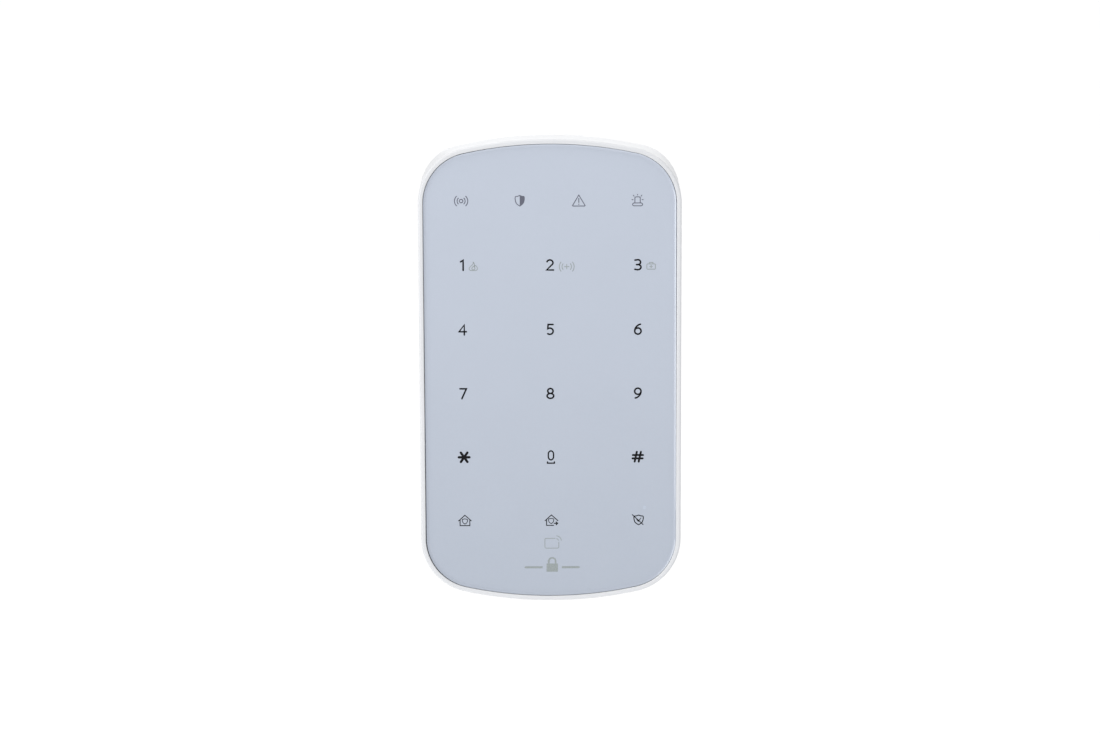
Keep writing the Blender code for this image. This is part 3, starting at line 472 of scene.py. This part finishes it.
# ---- front: glass and housing --------------------------------------------------------------------
RIM_INSET = 1.52                       # inner edge of the white rim
LEDGE_INSET = 8.0
LEDGE = (22.8, 24.0)                   # depths of the ledge that carries the glass
HOUSING_INNER = 2.3
HOUSING_BACK = HOUSING[1][0] + 3.4     # the posts reach 3.4 mm further back than the shell
SCREW_POSTS = [(side * 34.3, end * 59.0) for side in (-1, 1) for end in (-1, 1)]
STAKES = [(side * 36.6, z) for side in (-1, 1) for z in (-30.0, 0.0, 30.0)]
TOUCH_BACK = span("touch_board")[1][0]


def housing_sections():
    """Section of the front housing: side wall, round outer edge, rim, and the ledge under the glass."""
    round_edge = 0.65
    turn = [(round_edge - round_edge * math.cos(a), DEPTH - round_edge + round_edge * math.sin(a))
            for a in (math.radians(7.5 * step) for step in range(13))]
    round_lip = 0.30
    lip = [(RIM_INSET - round_lip + round_lip * math.sin(a), DEPTH - round_lip + round_lip * math.cos(a))
           for a in (math.radians(15 * step) for step in range(7))]
    return [(0.14, HOUSING_BACK), (0.10, HOUSING_BACK + 0.12), (0.05, 17.0), (0.01, 23.0), *turn, *lip,
            (RIM_INSET, LEDGE[1]), (LEDGE_INSET, LEDGE[1]), (LEDGE_INSET, LEDGE[0]),
            (HOUSING_INNER, LEDGE[0]), (HOUSING_INNER, HOUSING_BACK)]


def add_posts(bm):
    """Screw posts with blind bores, and the melted stakes that hold the touch board."""
    buried, post, bore, bore_end = LEDGE[0] + 0.1, 2.6, 1.35, 15.5
    back = HOUSING[1][0]
    for x, z in SCREW_POSTS:
        add_turned(bm, [(0.05, bore_end), (bore, bore_end), (bore, back + 0.25), (bore + 0.25, back),
                        (post - 0.15, back), (post, back + 0.15), (post, buried)],
                   at(x, 0, z) @ OUTWARD, 32)
    head = TOUCH_BACK - 1.3
    for x, z in STAKES:
        add_turned(bm, [(0.6, head), (1.05, head + 0.08), (1.4, head + 0.3), (1.6, head + 0.65),
                        (1.6, TOUCH_BACK - 0.3), (0.9, TOUCH_BACK - 0.3), (0.9, buried)],
                   at(x, 0, z) @ OUTWARD, 24)


GLASS_SHIFT = 0.05        # the glass sits this far right of the middle of its frame
GLASS_LEAN = -0.07        # and is turned by this many degrees, top to the left


def glass_sections():
    """Section of the glass: its front is flat and turns up a little towards the polished edge."""
    rise, reach, chamfer = 0.28, 1.1, 0.06
    turn_up = [(GLASS_INSET + chamfer + reach * (1 - share), GLASS_FRONT + rise * share ** 2)
               for share in (1, 0.85, 0.7, 0.55, 0.4, 0.25, 0.12, 0)]
    return [(GLASS_INSET + 0.3, GLASS_BACK), (GLASS_INSET, GLASS_BACK + 0.3),
            (GLASS_INSET, GLASS_FRONT + rise - chamfer), *turn_up]


def add_glass(bm):
    add_section(bm, glass_sections())
    lean = Matrix.Rotation(math.radians(GLASS_LEAN), 4, "Y")
    bmesh.ops.transform(bm, verts=bm.verts, matrix=at(GLASS_SHIFT, 0, 0) @ lean)


# ---- printed marks -------------------------------------------------------------------------------
def spline(knots, steps=6):
    """A smooth line through a few knots."""
    padded = [knots[0]] + list(knots) + [knots[-1]]
    points = []
    for i in range(1, len(padded) - 2):
        before, start, end, after = (Vector(padded[i + k]) for k in (-1, 0, 1, 2))
        for step in range(steps):
            t = step / steps
            place = 0.5 * (2 * start + (end - before) * t
                           + (2 * before - 5 * start + 4 * end - after) * t ** 2
                           + (3 * start - before - 3 * end + after) * t ** 3)
            points.append((place.x, place.y))
    return points + [tuple(knots[-1])]


def mirrored(points):
    return [(-x, z) for x, z in reversed(points)]


def oval(cx, cz, rx, rz, steps=28):
    return arc(cx, cz, rx, 90, 450, steps, rz / rx)


SIX = [spline([(0.82, 1.58), (0.30, 1.42), (-0.45, 0.85), (-0.92, 0.05), (-1.02, -0.62)]),
       oval(0, -0.62, 1.02, 1.00)]
SHIELD = spline([(0, 1.0), (0.5, 0.82), (0.95, 0.74), (0.97, 0.1), (0.7, -0.6), (0, -1.1)], 4)
FIGURES = {
    "1": [[(-0.42, 1.12), (0.38, 1.58), (0.38, -1.62)]],
    "2": [arc(-0.02, 0.72, 0.98, 158, -28, 14, 0.92) + [(-1.06, -1.60), (1.12, -1.60)]],
    "3": [[(-0.95, 1.48)] + arc(-0.08, 0.82, 0.92, 82, -84, 12, 0.86) + [(-0.45, 0.03)],
          [(-0.45, 0.03)] + arc(-0.08, -0.78, 1.05, 84, -90, 12, 0.80) + [(-1.0, -1.48)]],
    "4": [[(0.58, -1.66), (0.58, 1.55), (-1.10, -0.66), (1.22, -0.66)]],
    "5": [[(0.92, 1.60), (-0.66, 1.60), (-0.78, 0.22)] + arc(-0.12, -0.58, 1.08, 118, -128, 14, 0.94)],
    "6": SIX,
    "7": [[(-0.92, 1.60), (1.10, 1.60), (-0.36, -1.62)]],
    "8": [oval(0, 0.80, 0.86, 0.80), oval(0, -0.80, 1.06, 0.80)],
    "9": [[(-x, -z) for x, z in stroke] for stroke in SIX],
    "0": [arc(0, 0.95, 0.84, 0, 180, 14, 1.25) + arc(0, 0.15, 0.84, 180, 360, 14, 1.30) + [(0.84, 0.95)]],
}
STAR = [[(-1.70, 0), (1.70, 0)], [(-1.05, -1.52), (1.05, 1.52)], [(-1.05, 1.52), (1.05, -1.52)]]
HASH = [[(-1.00, -1.60), (-0.30, 1.60)], [(0.32, -1.60), (1.02, 1.60)],
        [(-1.58, 0.55), (1.68, 0.55)], [(-1.68, -0.55), (1.58, -0.55)]]
ZERO_CRADLE = [[(-1.12, -1.62), (-1.12, -2.02), (1.12, -2.02), (1.12, -1.62)]]
WAVES = [oval(0, 0, 0.56, 0.56)] + [
    arc(0, 0, radius, middle - 46, middle + 46, 12) for radius in (1.28, 2.12) for middle in (0, 180)]
TRIANGLE = [[(0, 1.78), (-2.0, -1.55), (-1.88, -1.72), (1.88, -1.72), (2.0, -1.55), (0, 1.78)],
            [(0, 0.72), (0, -0.55)], [(0, -1.10), (0, -1.16)]]
SIREN = [[(-0.85, -0.78), (-0.85, 0.92), (-0.55, 1.15), (0.55, 1.15), (0.85, 0.92), (0.85, -0.78)],
         arc(-1.12, -1.26, 0.46, 90, 270, 6) + arc(1.12, -1.26, 0.46, -90, 90, 6) + [(-1.12, -0.80)],
         [(0, 1.72), (0, 1.92)], [(-1.12, 1.38), (-1.36, 1.66)], [(1.12, 1.38), (1.36, 1.66)],
         [(-1.45, 0.25), (-1.78, 0.25)], [(1.45, 0.25), (1.78, 0.25)]]
HOUSE_ROOF = [(-2.05, -0.15), (0, 1.72), (2.05, -0.15)]
HOUSE = [HOUSE_ROOF, [(-1.58, 0.1), (-1.58, -1.72), (1.58, -1.72), (1.58, 0.1)]]
HOUSE_LEFT = [HOUSE_ROOF, [(-1.58, 0.1), (-1.58, -1.72), (0.72, -1.72)]]
BADGE = [SHIELD, mirrored(SHIELD)]
LEAVE_ARROW = [[(1.02, -1.05), (2.05, -1.05)], [(1.62, -0.60), (2.10, -1.05), (1.62, -1.50)]]
CASE = [[(-1.25, 0.62), (1.25, 0.62), (1.45, 0.42), (1.45, -0.98), (1.25, -1.18), (-1.25, -1.18),
         (-1.45, -0.98), (-1.45, 0.42), (-1.25, 0.62)],
        [(-0.62, 0.62), (-0.62, 1.12), (0.62, 1.12), (0.62, 0.62)],
        [(-0.48, -0.28), (0.48, -0.28)], [(0, 0.20), (0, -0.76)]]
FLAME = [spline([(0.05, 1.38), (-0.12, 0.72), (-0.78, 0.05), (-1.32, -0.62), (-1.0, -1.24), (0, -1.32),
                 (1.0, -1.24), (1.34, -0.66), (1.02, 0.02), (0.62, 0.28), (0.40, 0.02), (0.42, 0.62),
                 (0.05, 1.38)], 4),
         spline([(0.10, 0.10), (-0.42, -0.52), (-0.30, -0.98), (0.38, -0.98), (0.52, -0.48),
                 (0.10, 0.10)], 3)]
ALARM_CROSS = [[(-0.72, 0), (0.72, 0)], [(0, -0.72), (0, 0.72)]] + [
    arc(0, 0, radius, middle - 38, middle + 38, 10) for radius in (1.50, 2.36) for middle in (0, 180)]
CARD = [[(1.0, 1.62)] + arc(-1.85, 1.17, 0.45, 90, 180, 5)
        + arc(-1.85, -1.17, 0.45, 180, 270, 5) + arc(1.75, -1.17, 0.45, 270, 360, 5) + [(2.2, 0.35)],
        arc(1.3, 0.72, 0.82, 76, 14, 8), arc(1.3, 0.72, 1.75, 84, 6, 12)]
SHACKLE = [[(-1.1, 0.3), (-1.1, 1.2)] + arc(0, 1.2, 1.1, 180, 0, 14) + [(1.1, 0.3)]]
PADLOCK_CASE = [(-1.85, 0.45), (-1.85, -2.3), (1.85, -2.3), (1.85, 0.45)]
SIDE_BAR = [(3.1, -0.45), (3.1, -1.15), (8.6, -1.15), (9.1, -0.8), (8.6, -0.45)]


def add_ribbon(bm, path, width, low, high):
    """A flat stroke of ink along a path, with round ends; a path that ends where it starts is a ring."""
    corners = [Vector(corner) for corner in path]
    ring = (corners[0] - corners[-1]).length < 1e-6
    if ring:
        corners = corners[:-1]
    count = len(corners)
    sections = []
    for i, corner in enumerate(corners):
        before = corners[i - 1] if i or ring else None
        after = corners[(i + 1) % count] if i < count - 1 or ring else None
        runs = []
        if before is not None:
            runs.append((corner - before).normalized())
        if after is not None:
            runs.append((after - corner).normalized())
        run = sum(runs, Vector((0, 0))).normalized()
        reach = 1.0 / max(0.55, run.dot(runs[0]))
        sections.append((corner, run, width / 2 * reach))
    if not ring:
        sections = round_end(sections[0], -1) + sections + list(reversed(round_end(sections[-1], 1)))
    loops = []
    for place, run, half in sections:
        side = Vector((-run.y, run.x)) * half
        left, right = place + side, place - side
        loops.append([point(left.x, high, left.y), point(right.x, high, right.y),
                      point(right.x, low, right.y), point(left.x, low, left.y)])
    add_loops(bm, loops, ring)


def round_end(section, way):
    """Narrowing sections beyond a stroke's end, which lies ahead of it (way 1) or behind it (-1)."""
    place, run, half = section
    turns = [math.radians(angle) for angle in (82, 58, 30)]
    return [(place + run * way * half * math.sin(a), run, half * math.cos(a)) for a in turns]


class Print:
    """Marks of one ink, gathered in one mesh that lies on a face: on the glass unless told otherwise."""

    def __init__(self, name, material, body="keypad", slot="panel_glass", face=GLASS_FRONT, way=1):
        self.name, self.material, self.body, self.slot = name, material, body, slot
        self.face, self.way = face, way
        self.strokes, self.fills = [], []

    def draw(self, glyph, x, z, width, scale=1.0):
        for stroke in glyph:
            self.strokes.append(([(x + a * scale, z + b * scale) for a, b in stroke], width))

    def fill(self, points, x, z):
        self.fills.append([(x + a, z + b) for a, b in points])

    def build(self, bm):
        """Each stroke is a hair higher than the last, so that crossings don't share a surface."""
        low, top, step = (self.face + self.way * painted_shade_height for painted_shade_height in (-0.01, 0.006, 0.0066))
        for number, (path, width) in enumerate(self.strokes):
            add_ribbon(bm, path, width, low, top + (step - top) * (number % 9))
        for points in self.fills:
            add_prism(bm, points, low, top)

    def finish(self):
        piece(self.name, self.build, self.material, self.body)


KEY_COLUMNS = (-28.1, 0.0, 28.1)
KEY_ROWS = (34.7, 13.9, -6.9, -27.7, -48.5)
STATUS_COLUMNS = (-28.2, -9.55, 9.25, 27.95)
STATUS_ROW = 55.3
SENSOR_SPOT = (30.3, -44.4)
FIGURE_STROKE = 0.54


def print_marks():
    black = Print("key_figures", printed_ink("ink_black", (0.005, 0.005, 0.006)))
    for number in range(9):
        x, z = KEY_COLUMNS[number % 3], KEY_ROWS[number // 3]
        black.draw(FIGURES[str(number + 1)], x, z, FIGURE_STROKE)
    row = KEY_ROWS[3]
    black.draw(STAR, KEY_COLUMNS[0] + 0.2, row, 0.80)
    black.draw(FIGURES["0"], KEY_COLUMNS[1] + 0.1, row, 0.46)
    black.draw(ZERO_CRADLE, KEY_COLUMNS[1] + 0.1, row, 0.44)
    black.draw(HASH, KEY_COLUMNS[2], row, 0.66)
    row = KEY_ROWS[4]
    black.draw(HOUSE, KEY_COLUMNS[0] + 0.3, row, 0.30)
    black.draw(BADGE, KEY_COLUMNS[0] + 0.3, row - 0.28, 0.24, 0.84)
    black.draw(HOUSE_LEFT, KEY_COLUMNS[1] + 0.2, row, 0.30)
    black.draw(BADGE, KEY_COLUMNS[1] + 0.1, row - 0.22, 0.24, 0.84)
    black.draw(LEAVE_ARROW, KEY_COLUMNS[1] + 0.1, row, 0.34)
    black.draw(BADGE, KEY_COLUMNS[2] + 0.3, row + 0.05, 0.32, 1.52)
    black.draw([[(-0.62, 0.1), (-0.1, -0.5), (0.75, 0.62)]], KEY_COLUMNS[2] + 0.3, row, 0.26)
    black.draw([[(-1.75, 1.72), (1.75, -1.55)]], KEY_COLUMNS[2], row, 0.30)
    black.finish()

    grey = Print("status_symbols", printed_ink("ink_grey", (0.100, 0.105, 0.135)))
    first, second, third, fourth = STATUS_COLUMNS
    grey.draw(WAVES, first, STATUS_ROW, 0.30)
    badge = 1.62
    grey.draw([[(x * 0.9, z) for x, z in half] for half in BADGE], second, STATUS_ROW + 0.1, 0.28, badge)
    grey.fill([(x * 0.9 * badge, z * badge) for x, z in SHIELD], second, STATUS_ROW + 0.1)
    grey.draw(TRIANGLE, third, STATUS_ROW, 0.30)
    grey.draw(SIREN, fourth, STATUS_ROW, 0.28)
    grey.finish()

    pale = Print("side_symbols", printed_ink("ink_pale_grey", (0.235, 0.262, 0.265)))
    row = KEY_ROWS[0]
    pale.draw(FLAME, KEY_COLUMNS[0] + 3.6, row - 0.38, 0.26)
    pale.draw(ALARM_CROSS, KEY_COLUMNS[1] + 5.35, row - 0.55, 0.28)
    pale.draw(CASE, KEY_COLUMNS[2] + 4.2, row - 0.35, 0.26, 0.94)
    pale.draw(CARD, 0.35, -56.15, 0.26)
    pale.draw(SHACKLE, 0.4, -63.3, 0.55)
    pale.fill(PADLOCK_CASE, 0.4, -63.3)
    pale.fill(SIDE_BAR, 0.4, -63.3)
    pale.fill([(-x, z) for x, z in reversed(SIDE_BAR)], 0.4, -63.3)
    pale.finish()

    window = Print("light_sensor_window", printed_ink("ink_window", (0.36, 0.40, 0.47)))
    window.fill(arc(0, 0, 0.55, 0, 345, 23), *SENSOR_SPOT)
    window.finish()


def make_front(white):
    piece("glass_front", add_glass, painted_glass(), "keypad", ["glass_panel"])
    piece("housing_shell", lambda bm: add_section(bm, housing_sections(), closed=True), white, "keypad",
          ["front_housing"])
    piece("housing_posts", add_posts, white, "keypad")
    print_marks()


# ---- cells and their contacts --------------------------------------------------------------------
CELL_RADIUS = 7.1
CELL_HALF = 25.1
CELL_SPAN = [span(f"battery_cell_{number}") for number in (1, 2, 3)]
CELL_WRAP = (-24.75, 12.0)              # the coloured sleeve, along the cell
CELL_BAND = (12.02, 23.0)               # the plain sleeve towards the positive end


def cell_place(number):
    """Middle of a cell, its positive end at +z; the cells point left and right by turns."""
    x, depth, z = (sum(edges) / 2 for edges in CELL_SPAN[number - 1])
    side = 1 if number % 2 else -1
    return at(x, depth, z) @ Matrix.Rotation(side * math.radians(90), 4, "Y")


def sleeve(low, high, outer=CELL_RADIUS, inner=CELL_RADIUS - 0.16):
    return [(inner, low), (outer - 0.05, low), (outer, low + 0.1), (outer, high - 0.1),
            (outer - 0.05, high), (inner, high)]


def make_cells(steel):
    wrap = shrink_wrap("cell_wrap", (0.045, 0.13, 0.30))
    band = shrink_wrap("cell_band", (0.55, 0.56, 0.58))
    can_radius = CELL_RADIUS - 0.12
    shoulder = [(can_radius - 0.9 + 0.9 * math.cos(a), 22.9 + 0.9 * math.sin(a))
                for a in (math.radians(15 * step) for step in range(7))]
    can = [(0.4, -CELL_HALF + 0.12), (4.6, -CELL_HALF + 0.12), (5.0, -CELL_HALF),
           (can_radius - 0.45, -CELL_HALF), (can_radius - 0.12, -CELL_HALF + 0.12),
           (can_radius, -CELL_HALF + 0.5), *shoulder, (3.4, 23.8), (3.2, 23.55), (2.85, 23.6),
           (2.75, 23.9), (2.7, CELL_HALF - 0.35), (2.6, CELL_HALF - 0.1), (2.35, CELL_HALF),
           (0.3, CELL_HALF)]
    for number in (1, 2, 3):
        place = cell_place(number)
        node = f"battery_cell_{number}"
        piece(f"cell_can_{number}", lambda bm: add_turned(bm, can, place), steel, "keypad", [node])
        piece(f"cell_wrap_{number}", lambda bm: add_turned(bm, sleeve(*CELL_WRAP), place, closed=True),
              wrap, "keypad")
        piece(f"cell_band_{number}", lambda bm: add_turned(bm, sleeve(*CELL_BAND), place, closed=True),
              band, "keypad")


def make_springs(steel):
    """Conical springs: a flat turn on the contact plate, then turns that narrow towards the cell."""
    wire, steps = 0.4, 28
    flat_turn, cone_turns, last_turn = 0.75, 3.2, 0.3
    wide, narrow = 4.55, 2.65
    for number in (1, 2, 3):
        (x0, x1), _, _ = span(f"battery_spring_{number}")
        way = 1 if number % 2 else -1
        start = x0 + wire if way > 0 else x1 - wire
        length = (x1 - x0 - 2 * wire) * way
        _, (back, front), _ = CELL_SPAN[number - 1]
        depth, z = (back + front) / 2, sum(CELL_SPAN[number - 1][2]) / 2
        route = []
        for step in range(round((flat_turn + cone_turns + last_turn) * steps) + 1):
            turn = step / steps
            share = min(1.0, max(0.0, (turn - flat_turn) / cone_turns))
            angle = 2 * math.pi * turn
            radius = wide + (narrow - wide) * share
            route.append(point(start + length * share, depth + radius * math.cos(angle),
                               z + radius * math.sin(angle)))
        wire_piece(f"contact_spring_{number}", route, wire, steel, "keypad",
                   [f"battery_spring_{number}"])


def wire_piece(name, route, radius, material, body, replaced):
    """A round wire along a route, with closed ends."""
    curve = bpy.data.curves.new(name, "CURVE")
    curve.dimensions = "3D"
    curve.bevel_depth = radius * MM
    curve.bevel_resolution = 4
    curve.use_fill_caps = True
    line = curve.splines.new("POLY")
    line.points.add(len(route) - 1)
    for target, corner in zip(line.points, route):
        target.co = (*corner, 1.0)
    thing = link(name, curve)
    curve.materials.append(material)
    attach(thing, body)
    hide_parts(*replaced)


# ---- everything else: the CAD shapes with their edges eased --------------------------------------
EASED_EDGES = {          # rounding of a piece's edges; the others get SMALL_EDGE, wires none
    "wall_bracket": 0.30, "rear_case": 0.22, "battery_door": 0.22, "tamper_plunger": 0.12,
    "radio_shield": 0.20, "power_switch_knob": 0.15, "glass_tape": 0.0, "rating_label": 0.03,
}
SMALL_EDGE = 0.08
SHARP = math.radians(38)                # edges that turn by more than this are rounded
WIRES = {"radio_antenna", "card_reader_coil", "battery_lead_positive", "battery_lead_negative"}
RECORD = frame["record"]
BODY_OF = {node: body for body, nodes in RECORD["behaviour"]["bodies"].items() for node in nodes}


def eased(node, material):
    """A copy of a CAD piece, welded and with its edges rounded."""
    bm = bmesh.new()
    bm.from_mesh(frame["nodes"][node].data)
    bmesh.ops.remove_doubles(bm, verts=bm.verts, dist=1e-6)
    bmesh.ops.dissolve_limit(bm, angle_limit=math.radians(0.5), verts=bm.verts, edges=bm.edges)
    mesh = bpy.data.meshes.new(node + "_shape")
    bm.to_mesh(mesh)
    bm.free()
    mesh.shade_smooth()
    mesh.set_sharp_from_angle(angle=SHARP)
    mesh.materials.append(material)
    thing = link(node + "_shape", mesh)
    width = 0.0 if node in WIRES else EASED_EDGES.get(node, SMALL_EDGE)
    if width:
        bevel = thing.modifiers.new("eased", "BEVEL")
        bevel.width = width * MM
        bevel.segments = 3
        bevel.limit_method = "ANGLE"
        bevel.angle_limit = SHARP
        bevel.harden_normals = True
    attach(thing, BODY_OF[node])
    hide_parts(node)


def make_finishes():
    """A material for each slot of the record."""
    plated = metal("tinned_steel", (0.66, 0.65, 0.62), 0.28)
    return {
        "white_shell": moulded_plastic("white_gloss_plastic", (0.530, 0.539, 0.558), 0.34, 0.22, 0.004),
        "white_back": moulded_plastic("white_back_plastic", (0.640, 0.650, 0.665), 0.48, 0.30, 0.012),
        "bracket_plastic": moulded_plastic("bracket_plastic", (0.56, 0.57, 0.585), 0.52, 0.35, 0.016),
        "foam_tape": foam(),
        "light_guide": milky_plastic(),
        "board": circuit_board(),
        "chip": moulded_plastic("chip_moulding", (0.016, 0.016, 0.018), 0.55, 0.15, 0.01),
        "socket": moulded_plastic("cream_plastic", (0.68, 0.63, 0.50), 0.42, 0.3, 0.006),
        "flex": amber_film(),
        "tinned_steel": plated,
        "screw_steel": metal("zinc_plate", (0.56, 0.57, 0.60), 0.32),
        "copper": metal("enamelled_copper", (0.74, 0.34, 0.16), 0.25, (0.2, 1, 1), 0.3),
        "switch_black": moulded_plastic("black_nylon", (0.022, 0.022, 0.024), 0.45, 0.25, 0.008),
        "lamp": lens_resin(),
        "cell": plated,
        "lead_red": moulded_plastic("red_insulation", (0.42, 0.012, 0.012), 0.38, 0.4, 0.004),
        "lead_black": moulded_plastic("black_insulation", (0.018, 0.018, 0.020), 0.38, 0.4, 0.004),
        "label": moulded_plastic("label_film", (0.60, 0.61, 0.625), 0.40, 0.5, 0.003),
    }


def make_rest(finishes):
    """Every CAD piece that hasn't a finer mesh of its own."""
    handled = {"front_housing", "glass_panel", *(f"battery_cell_{n}" for n in (1, 2, 3)),
               *(f"battery_spring_{n}" for n in (1, 2, 3))}
    for part in RECORD["subparts"]:
        if part["node"] not in handled:
            eased(part["node"], finishes[part["material_slot"]])


def print_label():
    """The label is blank but for a frame and three plain bars."""
    (x0, x1), (back, _), (z0, z1) = span("rating_label")
    ink = Print("label_print", printed_ink("ink_label", (0.10, 0.10, 0.11)), "battery_door", "label",
                back, -1)
    margin, indent, thick = 1.2, 2.0, 1.1
    x, z = (x1 - x0) / 2 - margin, (z1 - z0) / 2 - margin
    middle, start = (z0 + z1) / 2, x - indent
    ink.draw([[(-x, -z), (x, -z), (x, z), (-x, z), (-x, -z)]], 0, middle, 0.35)
    for row, reach in ((3.6, 0.8), (0.6, 0.55), (-2.4, 0.7)):
        end = start * (1 - 2 * reach)
        ink.fill([(end, row), (start, row), (start, row + thick), (end, row + thick)], 0, middle)
    ink.finish()


make_camera()
make_floor()
make_lights()
FINISHES = make_finishes()
make_front(FINISHES["white_shell"])
make_cells(FINISHES["tinned_steel"])
make_springs(FINISHES["tinned_steel"])
make_rest(FINISHES)
print_label()
